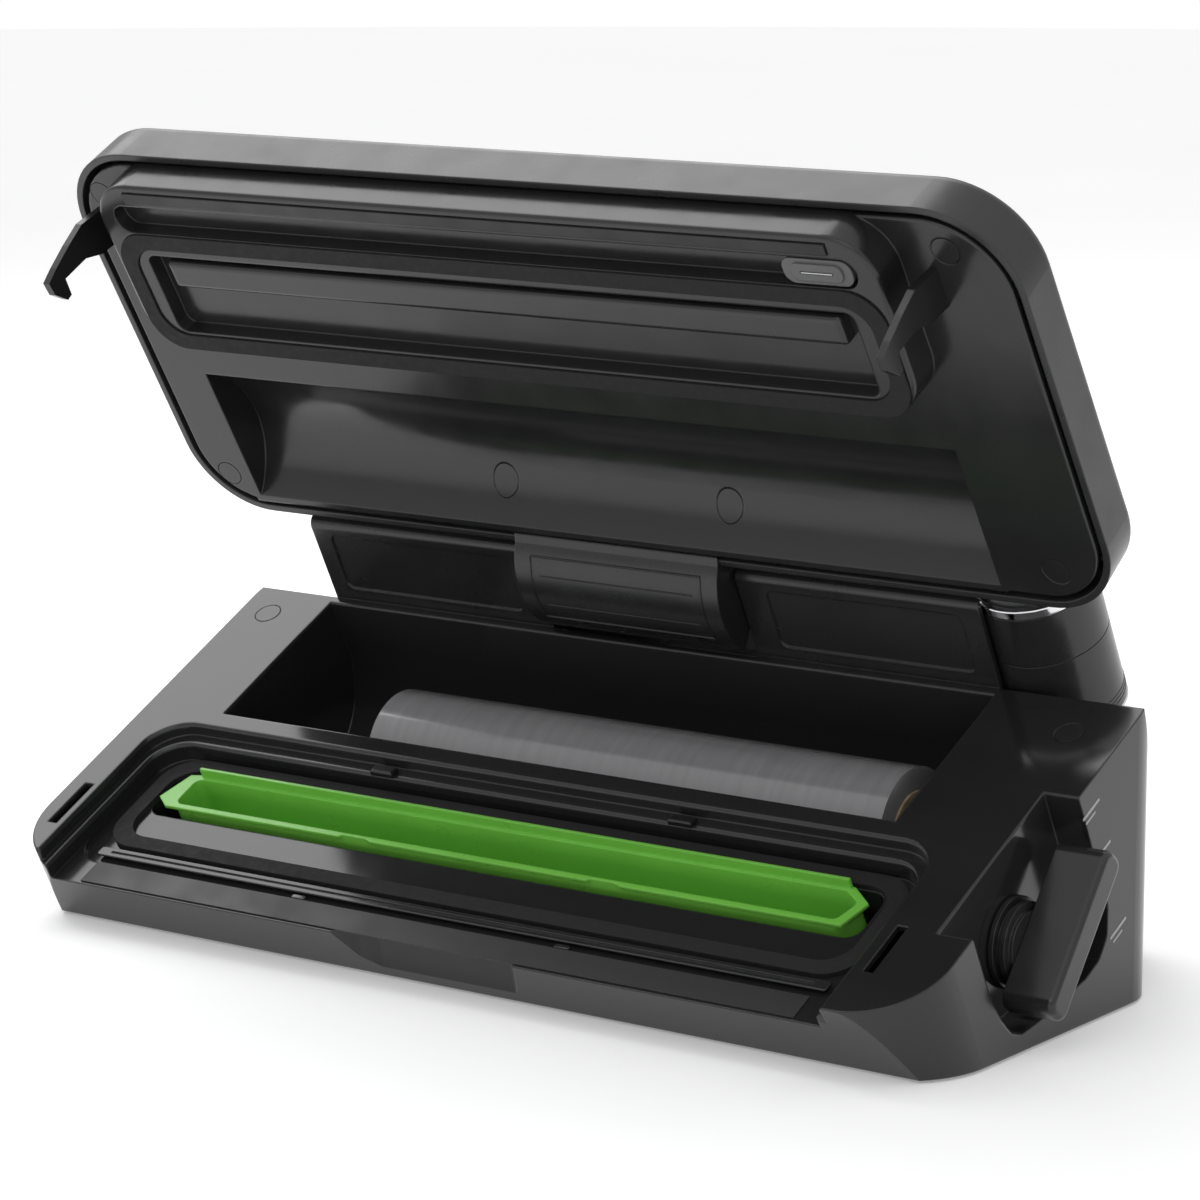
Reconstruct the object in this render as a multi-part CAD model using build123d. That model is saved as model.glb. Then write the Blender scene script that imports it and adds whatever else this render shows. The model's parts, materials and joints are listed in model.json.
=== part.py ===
"""Countertop vacuum sealer with its lid open: sloping base, roll store, latch lever, handheld wand.

The base's sloping top is called the deck.  Most pieces are drawn in the deck frame: u runs
across the machine, v runs up the slope towards the hinge and w stands square to the deck.
The lid's pieces are drawn closed on the deck and then swung open about the hinge.
"""
from build123d import *
from math import cos, radians, sin
import os

# ---------------------------------------------------------------- driving dimensions (mm)
DECK_TILT = 27.37            # slope of the deck, degrees
LID_OPEN = 85.6              # lid angle from closed to the open stop, degrees
ORIGIN = (13.5, 79.1, -41.2)  # bottom centre of the whole machine, seen from the deck's origin

WALL = 2.5                   # moulded wall thickness
SIDE_L, SIDE_R = -189.0, 206.5
BODY_BACK = 142.5            # rear face of the main body, level with the ground
BASE_BOTTOM = -40.0
DECK_FRONT, DECK_BACK = -32.0, 137.0
CORNER_R = 30.0              # front corners of the deck

RECESS_L, RECESS_R = -174.0, 172.0
RECESS_FLOOR, FRONT_FLOOR, LIP_TOP = -12.5, -11.0, -9.5
RECESS_STEP_V, RECESS_BACK_V, STEP_W = 47.3, 53.0, -5.0
NOTCH_L, NOTCH_R, NOTCH_DEPTH = -37.0, 43.0, 13.5

TROUGH_L, TROUGH_R, TROUGH_FRONT, TROUGH_BACK = -151.0, 148.0, 62.0, 133.5
TROUGH_RADIUS = (TROUGH_BACK - TROUGH_FRONT) / 2
TROUGH_V, TROUGH_W = (TROUGH_FRONT + TROUGH_BACK) / 2, -22.0

CHANNEL = (-159.0, 156.0, 14.5, 38.6)     # drip channel: u, u, v, v
CHANNEL_FLOOR = -28.0
TRAY_FRONT, TRAY_BACK, TRAY_TOP, TRAY_FLOOR = 17.6, 36.8, -10.0, -27.95
RING_U, RING_V0, RING_V1, RING_BAND, RING_R = 165.5, -6.2, 45.8, 6.4, 14.0
SEAL_V, SEAL_LENGTH = -22.5, 302.0
RAIL_V, RAIL_LENGTH, RAIL_TOP = -11.0, 322.0, -10.3

HINGE_V, HINGE_W = 155.6, 24.5
TOWER_L, TOWER_R, TOWER_FRONT, TOWER_TOP, TOWER_BACK = -151.0, 148.0, 137.8, 36.7, 190.0
REAR_BACK = 186.0
KNUCKLE_R, KNUCKLE_HALF, KNUCKLE_GAP = 30.0, 45.3, 1.0
PIN_R = 4.0

LID_L, LID_R, LID_FRONT, LID_BACK = -193.0, 212.0, -31.5, 136.3
LID_GAP, LID_TOP = 4.0, 25.0
LID_R_FRONT, LID_R_BACK = 34.0, 30.0
LID_WALL, SEAM = 2.6, 2.2
PLATE_THICK = 2.5
ISLAND_U, ISLAND_V0, ISLAND_V1, ISLAND_FACE = 168.0, -27.5, 46.3, -9.5
TRACK_V0, TRACK_V1, TRACK_DEPTH = -18.7, -6.7, 6.0

HUB_V, HUB_W, HUB_R = 47.5, -33.0, 16.0
LEVER_REST = 25.0            # lever angle above the deck plane when the latch is open
CRANK_R = 8.0
SLOT_U, SLOT_V0, SLOT_V1, SLOT_WIDE = 179.5, -11.7, 12.0, 4.0

WAND_U, WAND_V, WAND_R = 157.0, 161.5, 22.0
DOCK_TOP, NOZZLE_R, NOZZLE_END = -45.0, 17.0, -52.0
RING_TOP, RING_SPLIT, RING_END = -22.0, -33.5, -39.0   # chrome ring above, green ring below
ROLL_R, ROLL_L, ROLL_RIGHT = 23.5, -97.0, 130.0

DECK = Location((0, 0, 0), (DECK_TILT, 0, 0))
SHIFT = Location((-ORIGIN[0], -ORIGIN[1], -ORIGIN[2]))
HINGE = Location((0, HINGE_V, HINGE_W))
OPEN = HINGE * Location((0, 0, 0), (-LID_OPEN, 0, 0)) * HINGE.inverse()
YZ = Plane(origin=(0, 0, 0), x_dir=(0, 1, 0), z_dir=(1, 0, 0))

SLIDER_U = 144.5             # where the cutter slider rests
CAP_R = 5.0
BOARD_W = LID_TOP - 7.6
TUBE_Z = -30.0               # height of the suction tube under the roll store
PANEL_V0, PANEL_V1 = -14.0, 22.0

FEET = [(-165, 22), (180, 22), (-125, 168), (110, 168)]
DECK_CAPS = [(-174.4, 122), (186, 119)]
BOTTOM_SCREWS = [(-60, 12), (75, 12), (-176, 110), (192, 110), (-60, 175), (60, 175)]
LID_CAPS = [(-176.8, -12.8), (186.5, -14.6), (-177.2, 119.3), (188.6, 119.5)]
POCKET_CAPS = [(-50, 116.5), (50, 116.5)]
BOARD_POSTS = [(-100, -8), (-100, 16), (5, -8), (5, 16), (116, -8), (116, 16)]
BUTTONS = {"power_button": (-120, 7), "food_button": (-70, 7), "speed_button": (-30, 7),
           "seal_button": (40, 9), "vacuum_button": (90, 9)}

NODES = {}


# ---------------------------------------------------------------- helpers
def box(u0, u1, v0, v1, w0, w1):
    """Box between two corners."""
    middle = ((u0 + u1) / 2, (v0 + v1) / 2, (w0 + w1) / 2)
    return Pos(*middle) * Box(u1 - u0, v1 - v0, w1 - w0)


def round_box(u0, u1, v0, v1, w0, w1, r):
    """Box with its four upright edges rounded."""
    plan = Pos((u0 + u1) / 2, (v0 + v1) / 2, w0) * RectangleRounded(u1 - u0, v1 - v0, r)
    return extrude(plan, w1 - w0, dir=(0, 0, 1))


def bar(u0, u1, v, w, r):
    """Round bar along u."""
    return Pos((u0 + u1) / 2, v, w) * Rot(0, 90, 0) * Cylinder(r, u1 - u0)


def post(u, v, w0, w1, r):
    """Round bar along w."""
    return Pos(u, v, (w0 + w1) / 2) * Cylinder(r, w1 - w0)


def prism(points, u0, u1):
    """Straight-sided outline in (v, w), run from u0 to u1."""
    face = make_face(Polyline(*[(0, v, w) for v, w in points], close=True))
    return Pos(u0, 0, 0) * extrude(face, u1 - u0, dir=(1, 0, 0))


def deck_to_level(v, w):
    """Turns a (v, w) point of the deck frame into (y, z) level with the ground."""
    a = radians(DECK_TILT)
    return v * cos(a) - w * sin(a), v * sin(a) + w * cos(a)


def place(name, body, frame="deck"):
    """Keeps one node: solids in the deck frame, level with the ground, or on the closed lid."""
    solids = body if isinstance(body, list) else [body]
    at = {"deck": SHIFT * DECK, "level": SHIFT, "lid": SHIFT * DECK * OPEN}[frame]
    NODES[name] = Compound([s for solid in solids for s in (at * solid).solids()])


def soften(solid, edges, radius):
    """Rounds edges, with a smaller radius where the full one does not fit."""
    for r in (radius, radius * 0.6, radius * 0.3):
        try:
            rounded = fillet(edges, r)
            if rounded.is_valid:
                return rounded
        except Exception:
            continue
    return solid


# ---------------------------------------------------------------- base
def body_outline(inset):
    """Plan of the main body: rounded front corners and rear corners, seen from above."""
    y0, y1 = -60.0, BODY_BACK - inset
    plan = Pos((SIDE_L + SIDE_R) / 2, (y0 + y1) / 2) * Rectangle(SIDE_R - SIDE_L - 2 * inset, y1 - y0)
    return fillet(plan.vertices().sort_by(Axis.Y)[-2:], 25.0 - inset)


def body_block(inset):
    """Main body as a solid: level plan cut by the deck, the leaning front and the rear slope."""
    bottom = BASE_BOTTOM
    solid = Pos(0, 0, bottom) * extrude(body_outline(inset), 160, dir=(0, 0, 1))
    solid -= [DECK * front_corner(sign, inset) for sign in (-1, 1)]
    top = DECK * box(-250, 250, -150, 250, -inset, 200)
    rear = DECK * box(-250, 250, DECK_BACK - inset, 300, -45 + inset, 200)
    lip_y, lip_z = deck_to_level(DECK_FRONT, 0)
    lean = prism([(lip_y + inset, lip_z), (-6 + inset, bottom), (-6 + inset, bottom - 30),
                  (-160, bottom - 30), (-160, lip_z + 60), (lip_y + inset, lip_z + 60)], -250, 250)
    return solid - top - rear - lean


def front_corner(sign, inset):
    """What is cut off a front corner to round it, square to the deck."""
    centre = (SIDE_R if sign > 0 else SIDE_L) - sign * CORNER_R
    u0, u1 = sorted((centre, centre + sign * (CORNER_R + 20)))
    square = box(u0, u1, DECK_FRONT - 60, DECK_FRONT + CORNER_R, -90, 30)
    return square - post(centre, DECK_FRONT + CORNER_R, -95, 35, CORNER_R - inset)


def recess_cut():
    """Open-fronted recess in the deck: floor, two rounded steps at the back, open front."""
    step = round_box(RECESS_L, RECESS_R, DECK_FRONT - 90, RECESS_BACK_V, STEP_W, 20, 16)
    floor = round_box(RECESS_L + 3.5, RECESS_R - 3.5, -17, RECESS_STEP_V, RECESS_FLOOR, STEP_W + 0.01, 13)
    front = box(RECESS_L + 3.5, RECESS_R - 3.5, -30.2, -3, FRONT_FLOOR, STEP_W + 0.01)
    mouth = box(RECESS_L, RECESS_R, -130, -29.9, LIP_TOP, STEP_W + 0.01)
    return [step, floor, front, mouth]


def upper_housing():
    outer = body_block(0)
    shell = outer - body_block(WALL)
    trough_out = DECK * trough(WALL)
    recess_out = DECK * box(RECESS_L - WALL, RECESS_R + WALL, -40, RECESS_BACK_V + WALL,
                            RECESS_FLOOR - WALL, 0)
    channel_out = DECK * box(CHANNEL[0] - WALL, CHANNEL[1] + WALL, CHANNEL[2] - WALL, CHANNEL[3] + WALL,
                             CHANNEL_FLOOR - WALL, RECESS_FLOOR)
    pocket_out = DECK * lever_pocket(WALL)
    notch_out = DECK * finger_notch(WALL)
    shell += outer & (trough_out + recess_out + channel_out + pocket_out + notch_out)
    for cut in recess_cut():
        shell -= DECK * cut
    shell -= DECK * trough(0)
    shell -= DECK * round_box(*CHANNEL, CHANNEL_FLOOR, 0, 6)
    shell -= DECK * lever_pocket(0)
    shell -= DECK * finger_notch(0)
    for sign in (-1, 1):
        u = sign * SLOT_U
        shell -= DECK * box(u - SLOT_WIDE / 2, u + SLOT_WIDE / 2, SLOT_V0, SLOT_V1, -6, 5)
    shell -= DECK * box(-KNUCKLE_HALF - KNUCKLE_GAP, KNUCKLE_HALF + KNUCKLE_GAP, 136.2, 160, -12, 5)
    shell -= DECK * bar(188, 196, HUB_V, HUB_W, 8.3)
    x, y, z = SUCTION_PORT
    shell += Pos(x, y, z - 2.75) * Cylinder(1.7, 7.5)
    shell -= Pos(x, y, z) * Cylinder(1.0, 20)
    shell -= Pos(x, BODY_BACK, TUBE_Z) * Rot(90, 0, 0) * Cylinder(3.4, 12)
    for u, v in DECK_CAPS:
        shell -= DECK * post(u, v, -0.8, 2, CAP_R + 0.25)
    return rounded_rims(shell)


def rounded_rims(shell):
    """Rounds the rims of the recess, its step, the roll store, the lever pocket and the sides."""
    shell = (DECK.inverse() * shell).solids()[0]
    rims = [(0, RECESS_L, RECESS_R, -40, RECESS_BACK_V, 6, 1.6),
            (STEP_W, RECESS_L + 3.5, RECESS_R - 3.5, -40, RECESS_STEP_V, 6, 1.6),
            (0, TROUGH_L, TROUGH_R, TROUGH_FRONT, TROUGH_BACK, 3, 1.0),
            (0, SIDE_L, SIDE_R + 40, -80, 180, 8, 1.0),
            (0, 193, SIDE_R + 40, 12, 87, 8, 1.0)]
    for w, u0, u1, v0, v1, band, radius in rims:
        edges = shell.edges().filter_by(lambda e: on_rim(e, w, u0, u1, v0, v1, band))
        shell = soften(shell, edges, radius)
    return DECK * shell


def on_rim(edge, w, u0, u1, v0, v1, band):
    """Whether an edge lies flat at w in a band along the inside of a rectangle."""
    c = edge.center()
    flat = abs(c.Z - w) < 0.05 and edge.bounding_box().size.Z < 0.1
    inside = u0 - 0.5 < c.X < u1 + 0.5 and v0 - 0.5 < c.Y < v1 + 0.5
    middle = u0 + band < c.X < u1 - band and v0 + band < c.Y < v1 - band
    return flat and inside and not middle


def finger_notch(grow):
    """Where the front lip and the leaning front set back to give room for fingers."""
    v = DECK_FRONT + NOTCH_DEPTH
    outline = [(NOTCH_L - 12, -90), (NOTCH_L - 12, DECK_FRONT), (NOTCH_L - 5, DECK_FRONT + 2),
               (NOTCH_L + 6, v - 2), (NOTCH_L + 14, v), (NOTCH_R - 7, v), (NOTCH_R, DECK_FRONT + 5),
               (NOTCH_R + 2, DECK_FRONT), (NOTCH_R + 2, -90)]
    plan = make_face(Polyline(*outline, close=True))
    plan = fillet(plan.vertices().filter_by(lambda p: p.Y > DECK_FRONT + 0.1), 2.5)
    if grow:
        plan = offset(plan, grow)
    face_lean = 41.5 - DECK_TILT
    lean = Location((0, DECK_FRONT, 0), (-face_lean, 0, 0)) * Location((0, -DECK_FRONT, 0))
    return lean * Pos(0, 0, -90) * extrude(plan, 130, dir=(0, 0, 1))


def trough(grow):
    """Round-bottomed roll store across the deck."""
    r = TROUGH_RADIUS + grow
    low = bar(TROUGH_L - grow, TROUGH_R + grow, TROUGH_V, TROUGH_W, r)
    high = box(TROUGH_L - grow, TROUGH_R + grow, TROUGH_FRONT - grow, TROUGH_BACK + grow, TROUGH_W,
               20 if grow == 0 else 0)
    return low + high


def lever_pocket(grow):
    """Pocket in the right-hand side that the latch lever swings in."""
    outline = [(12, 20), (12, -25), (14, -37), (17, -45), (22, -50), (33, -53.5), (64, -60.6),
               (74, -60.6), (82, -56.5), (87, -47), (87, 20)]
    face = make_face(Polyline(*[(0, v, w) for v, w in outline], close=True))
    face = fillet(face.vertices().filter_by(lambda p: p.Z < -30), 6.0)
    if grow:
        face = offset(face, grow)
        return Pos(193 - grow, 0, 0) * extrude(face, 60, dir=(1, 0, 0)) & box(190, 207, 0, 100, -80, 0)
    return Pos(193, 0, 0) * extrude(face, 60, dir=(1, 0, 0))


# ---------------------------------------------------------------- rear housing and bottom cover
def rear_profile():
    """Side view of the rear housing, level with the ground."""
    points = [(BODY_BACK + 0.2, BASE_BOTTOM), (BODY_BACK + 0.2, deck_to_level(137.2, -45)[1])]
    points += [deck_to_level(137.2, -0.5), deck_to_level(TOWER_FRONT, -0.5)]
    points += [deck_to_level(TOWER_FRONT, TOWER_TOP), deck_to_level(TOWER_BACK, TOWER_TOP)]
    points += [deck_to_level(TOWER_BACK, 18), (REAR_BACK, 48), (REAR_BACK, BASE_BOTTOM)]
    return points


def yz_face(points):
    return make_face(Polyline(*[(0, y, z) for y, z in points], close=True))


def dock_block(inset):
    """Upright block at the rear right that the wand stands in."""
    y0, y1 = 120.0, REAR_BACK - inset
    x1 = 180.0 - inset
    plan = Pos((130 + x1) / 2, (y0 + y1) / 2) * Rectangle(x1 - 130, y1 - y0)
    plan = fillet(plan.vertices().sort_by(Axis.X)[-2:].sort_by(Axis.Y)[-1:], 22 - inset)
    block = Pos(0, 0, BASE_BOTTOM) * extrude(plan, 130, dir=(0, 0, 1))
    block -= DECK * box(-300, 300, 0, 400, DOCK_TOP - inset, 120)
    return block - box(-300, 300, -300, BODY_BACK + 0.2 + inset, -100, deck_to_level(137.2, -45)[1] + 0.1)


def rear_housing():
    face = yz_face(rear_profile())
    outer = Pos(TOWER_L, 0, 0) * extrude(face, TOWER_R - TOWER_L, dir=(1, 0, 0))
    outer = soften(outer, outer.edges().filter_by(Axis.X).sort_by(Axis.Z)[-3:], 4)
    backs = outer.edges().filter_by(lambda e: abs(e.center().Y - REAR_BACK) < 1 and e.length > 60)
    outer = soften(outer, backs.filter_by(Axis.Z), 14)
    width = TOWER_R - TOWER_L - 2 * WALL
    inner = Pos(TOWER_L + WALL, 0, 0) * extrude(offset(face, -WALL), width, dir=(1, 0, 0))
    inner += box(TOWER_L + WALL, TOWER_R - WALL, BODY_BACK + WALL + 0.2, REAR_BACK - WALL,
                 BASE_BOTTOM - 5, BASE_BOTTOM + 10)
    corners = inner.edges().filter_by(Axis.Z).filter_by(lambda e: abs(e.center().Y - REAR_BACK + WALL) < 1)
    inner = soften(inner, corners, 14 - WALL)
    outer += dock_block(0)
    inner += dock_block(WALL)
    shell = outer - inner
    notch_u = KNUCKLE_HALF + KNUCKLE_GAP
    well = bar(-notch_u, notch_u, HINGE_V, HINGE_W, KNUCKLE_R + 1.2)
    well += box(-notch_u, notch_u, 120, HINGE_V + KNUCKLE_R + 1.2, HINGE_W, 60)
    lining = bar(-notch_u - WALL, notch_u + WALL, HINGE_V, HINGE_W, KNUCKLE_R + 1.2 + WALL)
    lining += box(-notch_u - WALL, notch_u + WALL, 130, HINGE_V + KNUCKLE_R + 3.6, HINGE_W, 60)
    shell += (DECK * lining) & outer
    for side in (-1, 1):
        u0, u1 = sorted((side * (notch_u + 0.5), side * 62))
        shell += DECK * bar(u0, u1, HINGE_V, HINGE_W, 8.5)
    shell -= DECK * well
    shell -= DECK * bar(-60, 60, HINGE_V, HINGE_W, PIN_R)
    shell += DECK * post(WAND_U, WAND_V, DOCK_TOP, 60, WAND_R + 1.0 + WALL) & outer
    shell -= DECK * post(WAND_U, WAND_V, DOCK_TOP - 0.2, 60, WAND_R + 1.0)
    socket = DECK * post(WAND_U, WAND_V, NOZZLE_END - 1.0, -20, NOZZLE_R + 0.6)
    cup = DECK * post(WAND_U, WAND_V, NOZZLE_END - 3.5, DOCK_TOP, NOZZLE_R + 2.8)
    shell += (cup & dock_block(0)) - body_block(-0.2)
    shell -= socket
    panel_w0, panel_w1 = 5.0, 30.0
    for u0, u1 in ((TOWER_L + 8, -notch_u - 12), (notch_u + 12, TOWER_R - 8)):
        shell -= DECK * round_panel(u0, u1, panel_w0, panel_w1)
    shell -= box(60, 76, REAR_BACK - 4, REAR_BACK + 4, -22, -12)
    vents = [box(x, x + 2.4, REAR_BACK - 4, REAR_BACK + 4, -10, 24) for x in range(-110, -30, 6)]
    shell -= Pos(SUCTION_PORT[0], BODY_BACK, TUBE_Z) * Rot(90, 0, 0) * Cylinder(3.4, 12)
    return shell - vents


def round_panel(u0, u1, w0, w1):
    """Shallow sunk panel in the tower's front face."""
    plan = Plane(origin=((u0 + u1) / 2, TOWER_FRONT - 1, (w0 + w1) / 2), x_dir=(1, 0, 0), z_dir=(0, 1, 0))
    return extrude(plan * RectangleRounded(u1 - u0, w1 - w0, 3), 1.7)


def bottom_cover():
    """Flat cover that closes the housing from below."""
    inset = WALL + 0.3
    slab = box(-250, 250, -200, 300, BASE_BOTTOM, BASE_BOTTOM + WALL)
    main = body_block(inset) & slab
    main -= DECK * finger_notch(inset)
    rear = box(TOWER_L + inset, TOWER_R - inset, BODY_BACK + inset, REAR_BACK - inset,
               BASE_BOTTOM, BASE_BOTTOM + WALL)
    rear = soften(rear, rear.edges().filter_by(Axis.Z).group_by(Axis.Y)[-1], 14 - inset)
    rear += dock_block(inset) & slab
    feet = [Pos(x, y, BASE_BOTTOM + 1) * Cylinder(8.2, 2.02) for x, y in FEET]
    screws = [Pos(x, y, BASE_BOTTOM) * (Cylinder(1.75, 12) + Cylinder(3.3, 4.4)) for x, y in BOTTOM_SCREWS]
    return [part - feet - screws for part in (main, rear)]


def feet():
    pads = []
    for x, y in FEET:
        pad = Pos(x, y, BASE_BOTTOM + 0.4) * Cylinder(8, 3.2)
        pads.append(soften(pad, pad.edges().group_by(Axis.Z)[0], 0.8))
    return pads


def bottom_screws():
    screw = Pos(0, 0, 3.9) * Cylinder(1.6, 5.4) + Pos(0, 0, 1.3) * Cylinder(3.1, 1.7)
    return [Pos(x, y, BASE_BOTTOM) * screw for x, y in BOTTOM_SCREWS]


# ---------------------------------------------------------------- recess fittings
def ring(v0, v1, half, w0, w1, band, r):
    return (round_box(-half, half, v0, v1, w0, w1, r)
            - round_box(-half + band, half - band, v0 + band, v1 - band, w0 - 1, w1 + 1, r - band / 2))


def tray_form(inset):
    """Trough of the drip tray: upright walls, rounded bottom, pointed right end."""
    v0, v1 = TRAY_FRONT + 1 + inset, TRAY_BACK - 1 - inset
    outline = [(-149 + inset, v0), (-149 + inset, v1), (143 - inset, v1), (150.5 - inset, 29.5),
               (147 - inset, v0)]
    plan = fillet(make_face(Polyline(*outline, close=True)).vertices(), 4.4 - inset)
    block = Pos(0, 0, TRAY_FLOOR + inset) * extrude(plan, TRAY_TOP - TRAY_FLOOR, dir=(0, 0, 1))
    return soften(block, block.edges().group_by(Axis.Z)[0], 4.2 - inset)


def drip_tray():
    """Lift-out drip tray: trough, rim with a pull tab at the left and two dents, raised back wall."""
    front, back, skin = TRAY_FRONT, TRAY_BACK, 1.3
    rim = [(-151, front), (-157, 22), (-152, 36), (-148, back), (144, back), (153, 30), (149, front)]
    for u in (51, -60):
        rim += [(u + 7, front), (u + 2, front + 1.8), (u - 5, front + 1.8), (u - 8, front)]
    flange = Pos(0, 0, TRAY_TOP - 1.2) * extrude(make_face(Polyline(*rim, close=True)), 1.2, dir=(0, 0, 1))
    wall = box(-146, 143, back - 1.2, back, TRAY_TOP - 1.2, TRAY_TOP + 4)
    outer = tray_form(0) & box(-200, 200, 0, 60, TRAY_FLOOR, TRAY_TOP)
    return outer + flange + wall - tray_form(skin)


def cutter_rail():
    half = RAIL_LENGTH / 2
    rail = round_box(-half, half, RAIL_V - 2.3, RAIL_V + 2.3, FRONT_FLOOR, RAIL_TOP, 1.2)
    rail = soften(rail, rail.edges().group_by(Axis.Z)[-1], 0.3)
    return rail - box(-half + 6, half - 6, RAIL_V - 0.5, RAIL_V + 0.5, FRONT_FLOOR + 0.2, 0)


def tray_clips():
    """Two small tabs on the recess step that hold the back edge of the bag."""
    tabs = []
    for u in (-66, 67):
        tab = box(u - 5, u + 5, RECESS_STEP_V - 0.6, RECESS_STEP_V + 3.5, STEP_W + 0.02, STEP_W + 2.2)
        tabs.append(soften(tab, tab.edges().group_by(Axis.Z)[-1], 0.8))
    return tabs


# ---------------------------------------------------------------- lever, shaft and latch slides
def lever_place():
    return Pos(0, HUB_V, HUB_W) * Location((0, 0, 0), (LEVER_REST, 0, 0))


def lever():
    """Paddle lever: rounded bar, long arm up the slope, short tail."""
    long_arm, tail, thick = 37.0, 24.0, 12.0
    plan = Plane(origin=(0, (long_arm - tail) / 2, 0), x_dir=(0, 1, 0), z_dir=(1, 0, 0)) * \
        RectangleRounded(long_arm + tail, thick, 4.5)
    paddle = Pos(200.5, 0, 0) * extrude(plan, 19.5, dir=(1, 0, 0))
    outer = paddle.faces().sort_by(Axis.X)[-1].edges()
    paddle = soften(paddle, outer, 2.2)
    paddle -= Pos(0, 0, 0) * bar(195, 212, 0, 0, 3.0)
    return lever_place() * paddle


def lever_hub():
    rings = bar(193.6, 195.4, 0, 0, HUB_R) + bar(195.4, 196.9, 0, 0, 13.2)
    rings += bar(196.9, 199.0, 0, 0, 14.6) + bar(199.0, 200.4, 0, 0, 11.5)
    rings += bar(190.0, 193.6, 0, 0, 8.2)
    return lever_place() * (rings - bar(188, 202, 0, 0, 4.0))


def cross_shaft():
    """Shaft from the lever to both latch cranks, with a crank disc and pin at each end."""
    shaft = bar(-181, 200.4, 0, 0, 4.0) + bar(200.4, 211.5, 0, 0, 2.9)
    angle = radians(300 - LEVER_REST)
    pin_v, pin_w = CRANK_R * cos(angle), CRANK_R * sin(angle)
    for side in (-1, 1):
        u0, u1 = sorted((side * 177.6, side * 180.6))
        shaft += bar(u0, u1, 0, 0, 10.4)
        u0, u1 = sorted((side * 180.6, side * 185.4))
        shaft += bar(u0, u1, pin_v, pin_w, 1.6)
    return lever_place() * shaft


def latch_slide(side):
    """Flat slide that hooks over the lid's latch when the lever drives it forward."""
    plate = [(15, -23.4), (24, -23.4), (31, -38.2), (57, -38.2), (57, -46), (22, -46), (18, -30), (15, -27.4)]
    u0, u1 = sorted((side * 182.0, side * 184.6))
    body = prism(plate, u0, u1)
    n0, n1 = sorted((side * 177.8, side * 184.6))
    body += box(n0, n1, 13.2, 19.5, -27.2, -23.4)
    slot = box(min(u0, u1) - 1, max(u0, u1) + 1, HUB_V + 4 - 1.95, HUB_V + 4 + 1.95, -43.6, -36)
    return body - slot


def slide_guides():
    """Channels on the bottom cover that carry the two latch slides."""
    guides = []
    for side in (-1, 1):
        u0, u1 = sorted((side * 180.9, side * 185.9))
        guide = box(u0, u1, 26, 38, -49.6, -41)
        groove0, groove1 = sorted((side * 181.7, side * 184.9))
        guides.append(guide - box(groove0, groove1, 25, 39, -46.35, -40))
    return guides


def shaft_bearings():
    """Two bearing brackets that carry the cross shaft."""
    brackets = []
    for u in (-168, 168):
        y, z = deck_to_level(HUB_V, HUB_W)
        foot = box(u - 4, u + 4, y - 7, y + 7, BASE_BOTTOM + WALL + 0.05, z)
        ring_solid = DECK * bar(u - 4, u + 4, HUB_V, HUB_W, 7.0)
        brackets.append(foot + ring_solid - DECK * bar(u - 6, u + 6, HUB_V, HUB_W, 4.05))
    return brackets


# ---------------------------------------------------------------- film roll
def roll_axis():
    drop = TROUGH_RADIUS - ROLL_R - 0.3
    a = radians(DECK_TILT)
    return TROUGH_V - drop * sin(a), TROUGH_W - drop * cos(a)


def film_roll():
    v, w = roll_axis()
    return bar(ROLL_L, ROLL_RIGHT, v, w, ROLL_R) - bar(-200, 200, v, w, 15)


def roll_core():
    v, w = roll_axis()
    return bar(ROLL_L - 1, ROLL_RIGHT + 1, v, w, 15) - bar(-200, 200, v, w, 13.2)


# ---------------------------------------------------------------- wand
def wand_shell(w0, w1):
    return post(WAND_U, WAND_V, w0, w1, WAND_R) - post(WAND_U, WAND_V, w0 - 1, w1 + 1, WAND_R - 2.4)


def wand_window(grow):
    """Opening for the wand's button, on the side that faces away from the lid."""
    return box(WAND_U - 6 - grow, WAND_U + 6 + grow, WAND_V + 10, WAND_V + 40, 12 - grow, 26 + grow)


def wand_ring(w0, w1, grow, hole):
    solid = post(WAND_U, WAND_V, w0, w1, WAND_R + grow)
    edges = solid.edges().filter_by(GeomType.CIRCLE)
    return soften(solid, edges, 0.8) - post(WAND_U, WAND_V, w0 - 1, w1 + 1, hole)


def wand_cap():
    cap = post(WAND_U, WAND_V, 33.0, 39.2, 21.0)
    cap = soften(cap, cap.edges().group_by(Axis.Z)[-1], 5.5)
    return cap


def wand_button():
    tube = post(WAND_U, WAND_V, 0, 40, WAND_R + 1.4) - post(WAND_U, WAND_V, -1, 41, WAND_R - 2.2)
    button = tube & wand_window(-0.3)
    return button + box(WAND_U - 3, WAND_U + 3, WAND_V + 16, WAND_V + WAND_R - 2, 16, 22)


def wand_nozzle():
    nozzle = post(WAND_U, WAND_V, NOZZLE_END, RING_END, NOZZLE_R)
    nozzle = soften(nozzle, nozzle.edges().group_by(Axis.Z)[0], 2.0)
    mouth = post(WAND_U, WAND_V, NOZZLE_END - 2, RING_END - 4, 12.0)
    return nozzle - mouth - post(WAND_U, WAND_V, NOZZLE_END, RING_END + 5, 4.0)


# ---------------------------------------------------------------- inside the base
def pump():
    """Diaphragm pump head with its two ports."""
    head = box(-4, 38, 150, 178, -30, 4)
    head = soften(head, head.edges().filter_by(Axis.Z), 4)
    return head + Pos(8, 164, 6) * Cylinder(3, 8) + Pos(26, 164, 6) * Cylinder(3, 8)


SUCTION_PORT = (118.0, *deck_to_level(27, CHANNEL_FLOOR - WALL))


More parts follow.
